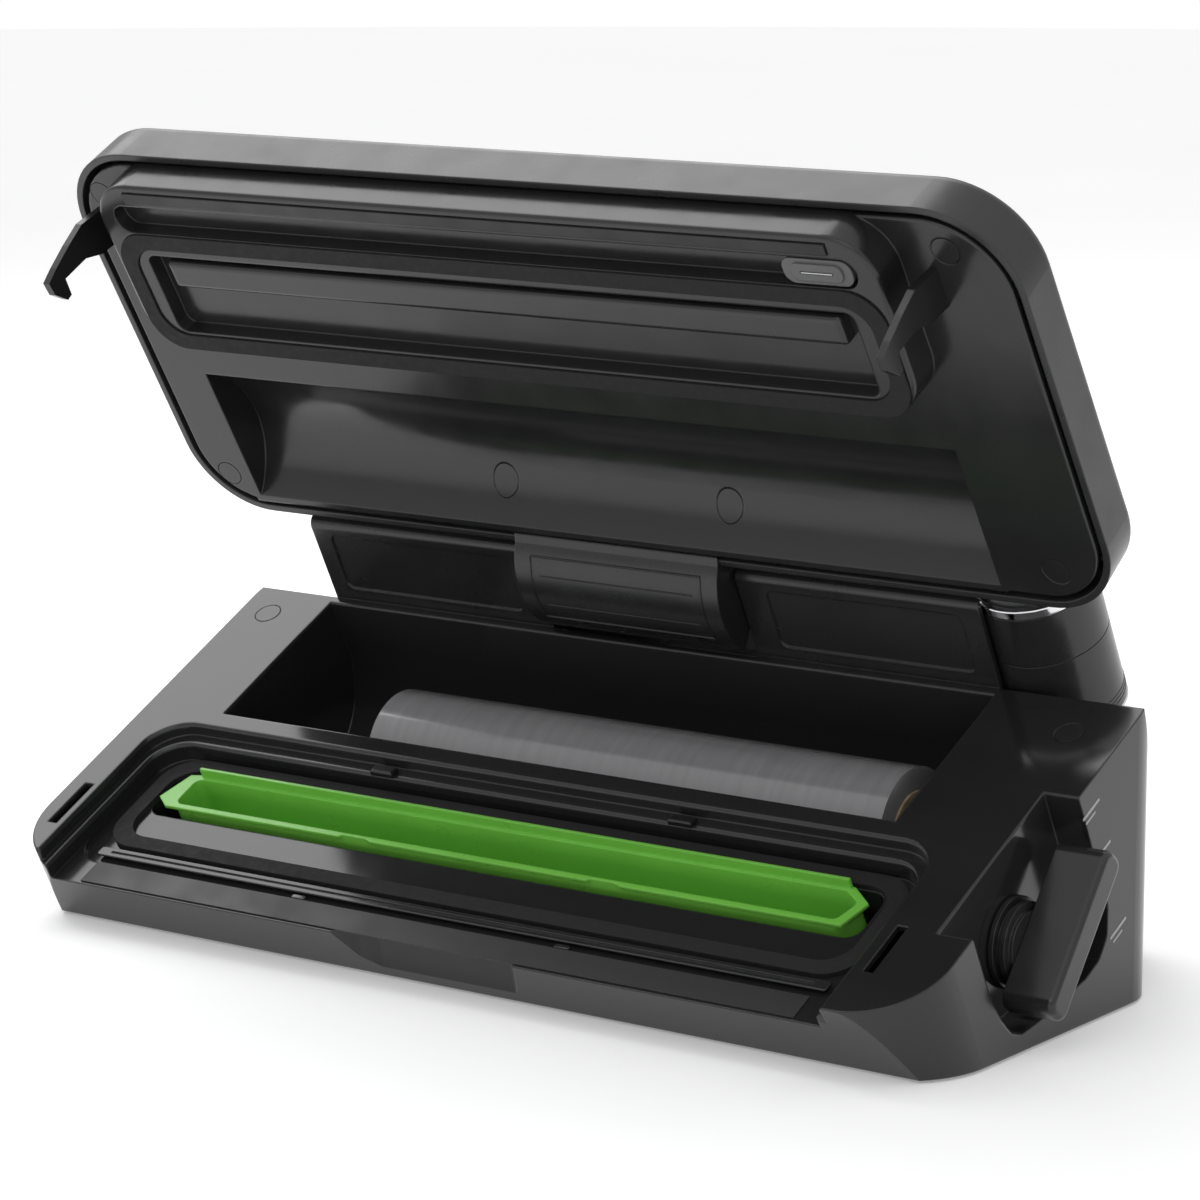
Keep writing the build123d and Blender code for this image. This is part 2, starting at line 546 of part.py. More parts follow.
def suction_tube():
    """Tube from the drip channel's port, under the roll store, to the pump."""
    x, y, z = SUCTION_PORT
    path = FilletPolyline((26, 164, 10), (26, 164, 22), (x, 164, 22), (x, 164, TUBE_Z), (x, y, TUBE_Z),
                          (x, y, z - 2), radius=6)
    section = Plane(origin=path @ 0, z_dir=path % 0) * (Circle(3.0) - Circle(1.8))
    return sweep(section, path)


def power_board():
    """Circuit board behind the mains inlet, with a relay and two capacitors."""
    board = box(46, 104, 150, 151.6, -34, 8) + box(50, 68, 151.6, 160, -2, 6)
    for x in (78, 92):
        board += Pos(x, 156, -2) * Rot(90, 0, 0) * Cylinder(4.5, 9)
    return board


# ---------------------------------------------------------------- lid
def lid_plan(inset):
    u0, u1 = LID_L + inset, LID_R - inset
    v0, v1 = LID_FRONT + inset, LID_BACK - inset
    plan = Pos((u0 + u1) / 2, (v0 + v1) / 2) * Rectangle(u1 - u0, v1 - v0)
    corners = plan.vertices().sort_by(Axis.Y)
    plan = fillet(corners[:2], LID_R_FRONT - inset)
    return fillet(plan.vertices().sort_by(Axis.Y)[-2:], LID_R_BACK - inset)


def lid_block(inset):
    """The lid's outer form, drawn in a little towards its top."""
    block = Pos(0, 0, LID_GAP) * extrude(lid_plan(inset), LID_TOP - LID_GAP - inset, dir=(0, 0, 1), taper=3)
    return soften(block, block.edges().group_by(Axis.Z)[-1], 4.5 - inset)


def panel_cut(grow, w0, w1):
    return round_box(-145 - grow, 130 + grow, PANEL_V0 - grow, PANEL_V1 + grow, w0, w1, 9)


def lid_shell():
    mouth = Pos(0, 0, LID_GAP - 2) * extrude(lid_plan(LID_WALL), 2.2, dir=(0, 0, 1))
    shell = lid_block(0) - (lid_block(LID_WALL) + mouth)
    shell -= panel_cut(0.15, LID_TOP - 1.4, LID_TOP + 5)
    shell += [post(u, v, BOARD_W, LID_TOP - 2, 2.5) for u, v in BOARD_POSTS]
    return shell - [post(u, 4, 20, 60, r + 1.5) for u, r in BUTTONS.values()]


def lid_board():
    """Circuit board under the control panel, with a switch under each button."""
    board = box(-140, 125, -12, 20, BOARD_W - 1.7, BOARD_W - 0.1)
    return board + [box(u - 3, u + 3, 1, 7, BOARD_W - 0.2, BOARD_W + 0.4) for u, r in BUTTONS.values()]


def control_panel():
    panel = panel_cut(0, LID_TOP - 1.35, LID_TOP + 0.25)
    panel = soften(panel, panel.edges().group_by(Axis.Z)[-1], 0.4)
    return panel - [post(u, 4, 20, 60, r + 0.35) for u, r in BUTTONS.values()]


def panel_button(u, r):
    button = post(u, 4, LID_TOP - 3.2, LID_TOP + 1.3, r)
    button = soften(button, button.edges().group_by(Axis.Z)[-1], 0.7)
    button += post(u, 4, LID_TOP - 4.4, LID_TOP - 3.1, r + 1.1)
    return button + post(u, 4, LID_TOP - 6.2, LID_TOP - 4.4, 2)


def lid_pocket(grow):
    """Concave room over the film roll."""
    v0, v1, depth = 69.9, 128.9, 15.5
    half = (v1 - v0) / 2
    r = (half ** 2 + depth ** 2) / (2 * depth)
    return bar(-166 - grow, 164 + grow, (v0 + v1) / 2, LID_GAP + depth - r, r + grow)


def lid_liner():
    """Inner plate of the lid with the raised sealing island and the roll pocket."""
    plate = Pos(0, 0, LID_GAP) * extrude(lid_plan(LID_WALL + SEAM), PLATE_THICK, dir=(0, 0, 1))
    plate = soften(plate, plate.edges().group_by(Axis.Z)[0], 1.0)
    island = round_box(-ISLAND_U, ISLAND_U, ISLAND_V0, ISLAND_V1, ISLAND_FACE, LID_GAP + PLATE_THICK, 18)
    island = soften(island, island.edges().group_by(Axis.Z)[0], 1.6)
    roof = lid_pocket(WALL) & box(-200, 200, 50, 134, LID_GAP, 40)
    liner = plate + island + roof
    liner -= round_box(-ISLAND_U + WALL, ISLAND_U - WALL, ISLAND_V0 + WALL, ISLAND_V1 - WALL, -1.0, 10, 16)
    liner -= lid_pocket(0)
    liner -= round_box(-160, 160, TRACK_V0, TRACK_V1, ISLAND_FACE - 1, ISLAND_FACE + TRACK_DEPTH, 5.9)
    half = SEAL_LENGTH / 2
    liner -= box(-half, half, SEAL_V - 2.2, SEAL_V + 2.2, ISLAND_FACE - 1, ISLAND_FACE + 4)
    liner -= ring(RING_V0, RING_V1, RING_U, ISLAND_FACE - 1, ISLAND_FACE + 3, RING_BAND, RING_R)
    liner -= round_box(-153, 153, RING_V0 + RING_BAND + 3, RING_V1 - RING_BAND - 1.4,
                       ISLAND_FACE - 1, -3.5, 4)
    liner -= [post(u, v, LID_GAP - 1, LID_GAP + 0.8, CAP_R + 0.25) for u, v in LID_CAPS]
    liner -= [post(u, v, 3, 30, CAP_R + 0.75) & lid_pocket(1.05) for u, v in POCKET_CAPS]
    return liner


def pocket_caps():
    return [post(u, v, 3, 30, CAP_R + 0.5) & (lid_pocket(1.0) - lid_pocket(0)) for u, v in POCKET_CAPS]


def channel_bar():
    """Half-round bar in the lid's vacuum channel that keeps the bag's mouth spread."""
    v = 12.3
    solid = round_box(-146, 146, v - 6, v + 6, -9.0, -3.5, 1.5)
    return soften(solid, solid.edges().group_by(Axis.Z)[0], 2.4)


def hook(side):
    """Long latch hook under the lid: barb to the rear, hidden in the base when the lid is shut."""
    outline = [(-7.2, LID_GAP), (8, LID_GAP), (6.5, -7), (2.6, -15), (2.2, -27.9), (9, -28.4), (9.5, -31),
               (4, -35.6), (-1.5, -36), (-3.8, -30), (-6.8, -20), (-9.2, -10)]
    u0, u1 = sorted((side * (SLOT_U - 1.5), side * (SLOT_U + 1.5)))
    return prism(outline, u0, u1)


def lid_knuckle():
    """Barrel that carries the lid on its hinge; its round front closes the gap in the tower."""
    def at(angle, r):
        return HINGE_V + r * cos(radians(angle)), HINGE_W + r * sin(radians(angle))
    half = KNUCKLE_HALF
    wedge = prism([(HINGE_V, HINGE_W), at(228, 60), at(267, 80), at(306, 60)], -half, half)
    sector = bar(-half, half, HINGE_V, HINGE_W, KNUCKLE_R) & wedge
    bridge = prism([(130, LID_GAP + 1), at(228, 29.9), (HINGE_V, HINGE_W), (HINGE_V + 2, HINGE_W + 10.9),
                    (130, LID_TOP - 0.6)], -half, half)
    solid = sector + bridge + bar(-half, half, HINGE_V, HINGE_W, 11)
    hollow = prism([at(270, 14), at(240, 27), at(268, 27.4), at(300, 27), at(306.5, 27), at(306.5, 13)],
                   -half + 3, half - 3)
    return solid - lid_block(0) - hollow - bar(-60, 60, HINGE_V, HINGE_W, PIN_R + 0.05)


def cutter_slider():
    u = SLIDER_U
    body = round_box(u - 13.5, u + 13.5, TRACK_V0 + 0.9, TRACK_V1 - 0.9,
                     ISLAND_FACE + 0.3, ISLAND_FACE + TRACK_DEPTH - 0.2, 4.2)
    grip = round_box(u - 10, u + 10, -16.2, -9.2, ISLAND_FACE - 0.4, ISLAND_FACE + 0.4, 3)
    return body + grip - box(u - 6.3, u + 6.3, -13.1, -12.1, ISLAND_FACE - 2, ISLAND_FACE + 3)


def build():
    place("upper_housing", upper_housing(), "level")
    place("rear_housing", rear_housing(), "level")
    place("bottom_cover", bottom_cover(), "level")
    place("rubber_feet", feet(), "level")
    place("bottom_screws", bottom_screws(), "level")
    place("lower_gasket", ring(RING_V0, RING_V1, RING_U, RECESS_FLOOR, -10.6, RING_BAND, RING_R))
    place("drip_tray", drip_tray())
    place("deck_caps", [post(u, v, -0.8, 0.05, CAP_R) for u, v in DECK_CAPS])
    place("cutter_rail", cutter_rail())
    half = SEAL_LENGTH / 2
    place("seal_element", box(-half, half, SEAL_V - 1.5, SEAL_V + 1.5, FRONT_FLOOR, FRONT_FLOOR + 0.3))
    tape = box(-half - 6, half + 6, SEAL_V - 5.5, SEAL_V + 5.5, FRONT_FLOOR, FRONT_FLOOR + 0.55)
    under = box(-half - 0.01, half + 0.01, SEAL_V - 1.51, SEAL_V + 1.51, -20, FRONT_FLOOR + 0.31)
    place("ptfe_tape", tape - under)
    place("bag_tabs", tray_clips())
    place("lever", lever())
    place("lever_hub", lever_hub())
    place("cross_shaft", cross_shaft())
    place("left_latch_slide", latch_slide(-1))
    place("right_latch_slide", latch_slide(1))
    place("slide_guides", slide_guides())
    place("shaft_bearings", shaft_bearings(), "level")
    place("film_roll", film_roll())
    place("roll_core", roll_core())
    place("wand_lower_body", wand_shell(RING_TOP, 8.6))
    place("wand_upper_body", wand_shell(9.0, 29.0) - wand_window(0.3))
    place("wand_top_ring", wand_ring(29.0, 33.0, 0.3, 10))
    place("wand_cap", wand_cap())
    place("wand_lower_ring", wand_ring(RING_SPLIT, RING_TOP, 0.2, 16))
    place("wand_green_ring", wand_ring(RING_END, RING_SPLIT, 0.2, 12))
    place("wand_nozzle", wand_nozzle())
    place("wand_button", wand_button())
    place("hinge_pins", [bar(-60, -36, HINGE_V, HINGE_W, PIN_R), bar(36, 60, HINGE_V, HINGE_W, PIN_R)])
    washers = [bar(u, u + 0.8, HINGE_V, HINGE_W, 9) for u in (-46.2, 45.4)]
    place("friction_washers", [w - bar(-60, 60, HINGE_V, HINGE_W, PIN_R + 0.02) for w in washers])
    place("vacuum_pump", pump(), "level")
    place("pump_motor", Pos(-30, 164, -13) * Rot(0, 90, 0) * Cylinder(14, 52), "level")
    place("transformer", [box(-140, -88, 148, 180, -34, 10)], "level")
    place("suction_tube", suction_tube(), "level")
    place("power_board", power_board(), "level")
    place("lid_board", lid_board(), "lid")
    place("power_inlet", box(60.2, 75.8, REAR_BACK - 12, REAR_BACK + 0.6, -21.8, -12.2), "level")
    place("lid_shell", lid_shell(), "lid")
    place("lid_liner", lid_liner(), "lid")
    place("lid_knuckle", lid_knuckle(), "lid")
    place("upper_gasket", ring(RING_V0, RING_V1, RING_U, -10.2, ISLAND_FACE + 3, RING_BAND, RING_R), "lid")
    place("seal_pad", box(-half, half, SEAL_V - 2.2, SEAL_V + 2.2, -10.15, ISLAND_FACE + 4), "lid")
    place("channel_bar", channel_bar(), "lid")
    place("left_hook", hook(-1), "lid")
    place("right_hook", hook(1), "lid")
    place("cutter_slider", cutter_slider(), "lid")
    blade = box(SLIDER_U - 6, SLIDER_U + 6, -12.85, -12.35, ISLAND_FACE - 0.5, ISLAND_FACE + 2.9)
    place("cutter_blade", blade, "lid")
    place("lid_caps", [post(u, v, LID_GAP - 0.05, LID_GAP + 0.8, CAP_R) for u, v in LID_CAPS], "lid")
    place("pocket_caps", pocket_caps(), "lid")
    place("control_panel", control_panel(), "lid")
    for name, (u, r) in BUTTONS.items():
        place(name, panel_button(u, r), "lid")


build()

os.makedirs("parts", exist_ok=True)
for name, node in NODES.items():
    export_step(node, f"parts/{name}.step")
    print(name, len(node.solids()), node.is_valid, node.bounding_box())
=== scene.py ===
"""Looks for the countertop vacuum sealer: finishes, small moulded details, studio and camera.

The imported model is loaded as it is.  Details are drawn in millimetres in the deck frame (u across,
v up the slope, w square to the deck), in the closed lid's copy of it, or level with the ground, and
ride on the body they belong to.
"""
import bmesh
import bpy
import json
from math import atan2, cos, pi, radians, sin
from mathutils import Matrix, Vector


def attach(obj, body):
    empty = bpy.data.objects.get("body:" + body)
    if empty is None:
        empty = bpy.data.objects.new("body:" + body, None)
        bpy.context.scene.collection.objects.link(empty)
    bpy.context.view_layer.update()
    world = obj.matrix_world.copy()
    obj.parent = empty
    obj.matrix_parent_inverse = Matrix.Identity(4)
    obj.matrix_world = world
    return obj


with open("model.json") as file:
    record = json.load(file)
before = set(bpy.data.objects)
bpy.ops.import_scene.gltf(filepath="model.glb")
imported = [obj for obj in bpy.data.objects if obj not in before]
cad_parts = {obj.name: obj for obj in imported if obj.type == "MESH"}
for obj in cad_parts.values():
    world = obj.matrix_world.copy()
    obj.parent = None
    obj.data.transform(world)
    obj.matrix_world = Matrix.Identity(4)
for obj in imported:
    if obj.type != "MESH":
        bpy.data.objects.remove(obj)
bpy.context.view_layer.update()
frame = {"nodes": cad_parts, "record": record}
NODES = frame["nodes"]
JOINTS = {joint["name"]: joint for joint in frame["record"]["behaviour"]["joints"]}
MM = 0.001

# ---------------------------------------------------------------- frames
DECK_ORIGIN = Vector((-13.5, -79.1, 41.2)) * MM
UP_SLOPE = -Vector(JOINTS["left_slide_travel"]["axis"])
DECK_TILT = atan2(UP_SLOPE.z, UP_SLOPE.y)
LID_OPEN = radians(-JOINTS["lid_hinge"]["range_deg"][0])
HINGE = Vector(JOINTS["lid_hinge"]["pos_m"])
SCALE = Matrix.Scale(MM, 4)

DECK = Matrix.Translation(DECK_ORIGIN) @ Matrix.Rotation(DECK_TILT, 4, "X") @ SCALE
SWING = Matrix.Translation(HINGE) @ Matrix.Rotation(-LID_OPEN, 4, "X") @ Matrix.Translation(-HINGE)
LID = SWING @ DECK
LEVEL = Matrix.Translation(DECK_ORIGIN) @ SCALE


# ---------------------------------------------------------------- materials
class Graph:
    """Small helper for building a material's nodes."""

    def __init__(self, name):
        self.material = bpy.data.materials.new(name)
        self.material.use_nodes = True
        self.nodes = self.material.node_tree.nodes
        self.links = self.material.node_tree.links
        self.shader = self.nodes["Principled BSDF"]
        self.place = self.add("ShaderNodeTexCoord").outputs["Object"]

    def add(self, kind, **settings):
        node = self.nodes.new(kind)
        for key, value in settings.items():
            setattr(node, key, value)
        return node

    def feed(self, node, socket, value):
        if isinstance(value, bpy.types.NodeSocket):
            self.links.new(value, node.inputs[socket])
        else:
            node.inputs[socket].default_value = value

    def noise(self, scale, detail=3.0, stretch=(1, 1, 1)):
        mapping = self.add("ShaderNodeMapping")
        self.feed(mapping, "Vector", self.place)
        self.feed(mapping, "Scale", stretch)
        node = self.add("ShaderNodeTexNoise")
        self.feed(node, "Vector", mapping.outputs["Vector"])
        self.feed(node, "Scale", scale)
        self.feed(node, "Detail", detail)
        return node.outputs["Fac"]

    def spread(self, value, low, high, start=0.3, end=0.7):
        node = self.add("ShaderNodeMapRange")
        for socket, number in (("From Min", start), ("From Max", end), ("To Min", low), ("To Max", high)):
            self.feed(node, socket, number)
        self.feed(node, "Value", value)
        return node.outputs["Result"]

    def math(self, operation, a, b):
        node = self.add("ShaderNodeMath", operation=operation)
        self.feed(node, 0, a)
        self.feed(node, 1, b)
        return node.outputs[0]

    def mix(self, factor, a, b):
        node = self.add("ShaderNodeMix", data_type="RGBA")
        self.feed(node, 0, factor)
        self.feed(node, 6, a)
        self.feed(node, 7, b)
        return node.outputs[2]

    def bump(self, height, distance, strength=1.0, under=None):
        node = self.add("ShaderNodeBump")
        self.feed(node, "Height", height)
        self.feed(node, "Distance", distance * MM)
        self.feed(node, "Strength", strength)
        if under is not None:
            self.feed(node, "Normal", under)
        return node.outputs["Normal"]

    def rounded(self, radius):
        """Normal with edges rounded by radius (mm), and a mask that is 1 on those edges."""
        bevel = self.add("ShaderNodeBevel", samples=6)
        self.feed(bevel, "Radius", radius * MM)
        true = self.add("ShaderNodeNewGeometry").outputs["Normal"]
        node = self.add("ShaderNodeVectorMath", operation="DOT_PRODUCT")
        self.links.new(bevel.outputs["Normal"], node.inputs[0])
        self.links.new(true, node.inputs[1])
        return bevel.outputs["Normal"], self.spread(node.outputs["Value"], 1.0, 0.0, 0.75, 0.995)


def rgb(r, g, b):
    return (r, g, b, 1.0)


def plastic(name, colour, rough, edge=0.6, grain=0.0, coat=0.0, edge_highlight_strength=0.25, cloud=0.12):
    """Moulded plastic: slight cloudiness, handling marks in the gloss, fine grain, and a painted highlight
    that lightens the colour along every edge, where the gloss is also a little rougher.
    """
    g = Graph(name)
    normal, edges = g.rounded(edge)
    cloudy = g.noise(18, 4)
    smudge = g.noise(55, 5)
    fleck = g.noise(900, 2)
    darker, lighter = ([c * (1 + k * cloud) for c in colour] for k in (-1, 1))
    base = g.mix(g.spread(cloudy, 0, 1), rgb(*darker), rgb(*lighter))
    # painted highlight: the colour is lightened along every edge, broken up by noise; the same mask makes
    # the edges a little rougher
    painted_edge_highlight = g.math("MULTIPLY", edges, g.spread(g.noise(140, 3), 0.0, edge_highlight_strength))
    light = rgb(*[min(1, c * 1.6 + 0.02) for c in colour])
    g.feed(g.shader, "Base Color", g.mix(painted_edge_highlight, base, light))
    gloss = g.spread(smudge, rough * 0.8, rough * 1.25)
    g.feed(g.shader, "Roughness", g.math("ADD", gloss, g.math("MULTIPLY", painted_edge_highlight, 0.15)))
    height = g.bump(fleck, 0.02 + grain, 0.25 if grain else 0.08, normal)
    g.feed(g.shader, "Normal", height)
    g.feed(g.shader, "Coat Weight", coat)
    g.feed(g.shader, "Coat Roughness", 0.04)
    return g.material


def foam(name, colour):
    """Fine closed-cell foam."""
    g = Graph(name)
    cells = g.add("ShaderNodeTexVoronoi")
    g.feed(cells, "Vector", g.place)
    g.feed(cells, "Scale", 1400)
    blotch = g.noise(320, 4)
    dark, light = ([c * k for c in colour] for k in (0.55, 1.7))
    g.feed(g.shader, "Base Color", g.mix(g.spread(blotch, 0, 1), rgb(*dark), rgb(*light)))
    g.feed(g.shader, "Roughness", g.spread(blotch, 0.75, 0.95))
    inner = g.bump(cells.outputs["Distance"], 0.12, 0.8)
    g.feed(g.shader, "Normal", g.bump(blotch, 0.25, 0.7, inner))
    return g.material


def metal(name, colour, rough, stretch=(1, 1, 1), scale=900):
    """Metal with fine drawn or turned lines."""
    g = Graph(name)
    normal, edges = g.rounded(0.25)
    lines = g.noise(scale, 2, stretch)
    g.feed(g.shader, "Metallic", 1.0)
    # painted highlight: the colour is brighter along every edge
    g.feed(g.shader, "Base Color", g.mix(edges, rgb(*colour), rgb(*[min(1, c * 1.2) for c in colour])))
    g.feed(g.shader, "Roughness", g.spread(lines, rough * 0.75, rough * 1.3))
    g.feed(g.shader, "Normal", g.bump(lines, 0.01, 0.15, normal))
    return g.material


def film(name):
    """Wound clear film: milky, glossy, with faint stripes and the embossed grid of bag film."""
    g = Graph(name)
    stripes = g.noise(60, 3, (4, 0.5, 0.5))
    weave = g.add("ShaderNodeTexChecker")
    g.feed(weave, "Vector", g.place)
    g.feed(weave, "Scale", 900)
    milk = g.mix(g.spread(stripes, 0, 1), rgb(0.215, 0.215, 0.22), rgb(0.25, 0.25, 0.255))
    g.feed(g.shader, "Base Color", milk)
    g.feed(g.shader, "Roughness", g.spread(stripes, 0.16, 0.26))
    g.feed(g.shader, "Normal", g.bump(weave.outputs["Fac"], 0.01, 0.08, g.bump(stripes, 0.03, 0.2)))
    g.feed(g.shader, "Coat Weight", 0.8)
    g.feed(g.shader, "Coat Roughness", 0.12)
    return g.material


def card(name):
    """Cardboard core with paper fibre."""
    g = Graph(name)
    fibre = g.noise(260, 6, (0.3, 2, 2))
    g.feed(g.shader, "Base Color", g.mix(g.spread(fibre, 0, 1), rgb(0.3, 0.22, 0.13), rgb(0.48, 0.37, 0.24)))
    g.feed(g.shader, "Roughness", g.spread(fibre, 0.75, 0.95))
    g.feed(g.shader, "Normal", g.bump(fibre, 0.1, 0.5))
    return g.material


def cloth_tape(name):
    """Coated glass-cloth tape over the heating element."""
    g = Graph(name)
    warp = g.add("ShaderNodeTexWave", wave_type="BANDS", bands_direction="X")
    weft = g.add("ShaderNodeTexWave", wave_type="BANDS", bands_direction="Y")
    for node in (warp, weft):
        g.feed(node, "Vector", g.place)
        g.feed(node, "Scale", 380)
    weave = g.math("MULTIPLY", warp.outputs["Fac"], weft.outputs["Fac"])
    g.feed(g.shader, "Base Color", g.mix(weave, rgb(0.011, 0.011, 0.011), rgb(0.024, 0.024, 0.023)))
    g.feed(g.shader, "Roughness", g.spread(g.noise(60, 3), 0.42, 0.55))
    g.feed(g.shader, "Normal", g.bump(weave, 0.03, 0.4))
    return g.material


def make_materials():
    black = (0.0165, 0.0165, 0.017)
    made = {
        "deck_black": plastic("deck_black", black, 0.13, edge=1.0, edge_highlight_strength=0.12, cloud=0.05),
        "housing_black": plastic("housing_black", black, 0.24, edge=0.9),
        "lid_black": plastic("lid_black", (0.021, 0.021, 0.0215), 0.30, edge=0.9, cloud=0.06),
        "liner_black": plastic("liner_black", black, 0.20, edge=1.0, cloud=0.06),
        "knuckle_black": plastic("knuckle_black", black, 0.25, edge=0.8),
        "lever_black": plastic("lever_black", (0.018, 0.018, 0.0185), 0.22, edge=0.5),
        "wand_black": plastic("wand_black", (0.015, 0.015, 0.016), 0.22, edge=0.5),
        "hook_black": plastic("hook_black", (0.010, 0.010, 0.010), 0.30, edge=0.4),
        "channel_black": plastic("channel_black", (0.020, 0.020, 0.020), 0.20, edge=0.5),
        "rail_black": plastic("rail_black", (0.020, 0.020, 0.020), 0.16, edge=0.5),
        "cap_black": plastic("cap_black", (0.017, 0.017, 0.017), 0.20, edge=0.2),
        "tab_black": plastic("tab_black", (0.010, 0.010, 0.010), 0.3, edge=0.3),
        "panel_black": plastic("panel_black", (0.006, 0.006, 0.006), 0.08, edge=0.3, coat=1.0),
        "inlet_black": plastic("inlet_black", (0.012, 0.012, 0.012), 0.4, edge=0.3, grain=0.02),
        "cover_black": plastic("cover_black", (0.014, 0.014, 0.014), 0.45, edge=0.4, grain=0.05),
        "button_grey": plastic("button_grey", (0.15, 0.15, 0.155), 0.32, edge=0.4),
        "slider_grey": plastic("slider_grey", (0.085, 0.085, 0.085), 0.28, edge=0.6),
        "wand_button_grey": plastic("wand_button_grey", (0.10, 0.10, 0.10), 0.35, edge=0.4),
        "wand_nozzle_grey": plastic("wand_nozzle_grey", (0.04, 0.04, 0.04), 0.4, edge=0.4, grain=0.03),
        "inner_grey": plastic("inner_grey", (0.18, 0.18, 0.18), 0.5, edge=0.4, grain=0.03),
        "tray_green": plastic("tray_green", (0.165, 0.50, 0.060), 0.32, edge=0.7, edge_highlight_strength=0.3, cloud=0.05),
        "wand_green": plastic("wand_green", (0.16, 0.42, 0.05), 0.15, edge=0.4, coat=0.5),
        "board_green": plastic("board_green", (0.02, 0.12, 0.04), 0.35, edge=0.2),
        "foot_rubber": plastic("foot_rubber", (0.012, 0.012, 0.012), 0.75, edge=0.4, grain=0.08),
        "silicone": plastic("silicone", (0.010, 0.010, 0.010), 0.45, edge=0.5, grain=0.03),
        "tube": plastic("tube", (0.45, 0.45, 0.43), 0.3, edge=0.2),
        "foam": foam("foam", (0.006, 0.006, 0.006)),
        "steel": metal("steel", (0.55, 0.55, 0.56), 0.30, (8, 0.3, 0.3)),
        "element_steel": metal("element_steel", (0.35, 0.33, 0.30), 0.35, (0.2, 6, 6)),
        "wand_chrome": metal("wand_chrome", (0.83, 0.83, 0.84), 0.08),
        "film": film("film"),
        "card": card("card"),
        "tape": cloth_tape("tape"),
    }
    made["mark"] = plastic("mark_grey", (0.30, 0.30, 0.31), 0.45, edge=0.1)
    # near-black plastic for the printed border, the parting line and the painted shade in the screw recesses
    made["seam"] = plastic("seam_dark", (0.004, 0.004, 0.004), 0.6, edge=0.1, grain=0.02)
    return made


M = make_materials()
SLOTS = {piece["node"]: piece["material_slot"] for piece in frame["record"]["subparts"]}
for node, slot_name in SLOTS.items():
    NODES[node].data.materials.clear()
    NODES[node].data.materials.append(M[slot_name])


# ---------------------------------------------------------------- drawing helpers
SMOOTH_BELOW = radians(35)


def keep(name, mesh, where, body, material):
    """Turns a bmesh drawn in mm into a piece in place, riding on its body.

    Printed marks, dark gaps and painted shade have no slot of their own and take the material named in the
    call.
    """
    data = bpy.data.meshes.new(name)
    bmesh.ops.transform(mesh, matrix=where, verts=mesh.verts)
    bmesh.ops.recalc_face_normals(mesh, faces=mesh.faces)
    mesh.to_mesh(data)
    mesh.free()
    data.materials.append(M[material])
    data.shade_smooth()
    data.set_sharp_from_angle(angle=SMOOTH_BELOW)
    piece = bpy.data.objects.new(name, data)
    bpy.context.collection.objects.link(piece)
    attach(piece, body)


def rounded_plan(u0, u1, v0, v1, r, steps=10):
    """Outline of a rounded rectangle, anticlockwise."""
    points = []
    centres = ((u1 - r, v0 + r), (u1 - r, v1 - r), (u0 + r, v1 - r), (u0 + r, v0 + r))
    for k, (cu, cv) in enumerate(centres):
        for step in range(steps + 1):
            a = -pi / 2 + k * pi / 2 + step * pi / 2 / steps
            points.append((cu + r * cos(a), cv + r * sin(a)))
    return points


def bead(mesh, path, r, closed=False, sides=10):
    """Round bead along a path of 3-D points."""
    path = [Vector(p) for p in path]
    count = len(path)
    rings = []
    for i, point in enumerate(path):
        before = path[i - 1] if closed or i else point
        after = path[(i + 1) % count] if closed or i < count - 1 else point
        along = (after - before).normalized()
        side = along.orthogonal().normalized() if i == 0 else (last - along * last.dot(along)).normalized()
        last = side
        up = along.cross(side)
        turns = [2 * pi * k / sides for k in range(sides)]
        rings.append([mesh.verts.new(point + (side * cos(a) + up * sin(a)) * r) for a in turns])
    pairs = range(count) if closed else range(count - 1)
    for i in pairs:
        a, b = rings[i], rings[(i + 1) % count]
        for k in range(sides):
            mesh.faces.new((a[k], a[(k + 1) % sides], b[(k + 1) % sides], b[k]))
    if not closed:
        mesh.faces.new(rings[0])
        mesh.faces.new(rings[-1][::-1])


def slab(mesh, plan, w0, w1, edge=0.3):
    """Flat piece of the given plan between two heights, with its upper edge eased."""
    low = [mesh.verts.new((u, v, w0)) for u, v in plan]
    high = [mesh.verts.new((u, v, w1)) for u, v in plan]
    count = len(plan)
    for i in range(count):
        j = (i + 1) % count
        mesh.faces.new((low[i], low[j], high[j], high[i]))
    mesh.faces.new(low[::-1])
    top = mesh.faces.new(high)
    if edge:
        bmesh.ops.bevel(mesh, geom=list(top.edges), offset=edge, segments=3, affect="EDGES", profile=0.5)


def turned(mesh, profile, axis_at, along, sides=64):
    """Turns a closed profile of (distance along the axis, radius) about an axis."""
    along = Vector(along).normalized()
    side = along.orthogonal().normalized()
    up = along.cross(side)
    rings = []
    for k in range(sides):
        a = 2 * pi * k / sides
        out = side * cos(a) + up * sin(a)
        rings.append([mesh.verts.new(Vector(axis_at) + along * d + out * r) for d, r in profile])
    count = len(profile)
    for k in range(sides):
        a, b = rings[k], rings[(k + 1) % sides]
        for i in range(count):
            mesh.faces.new((a[i], a[(i + 1) % count], b[(i + 1) % count], b[i]))


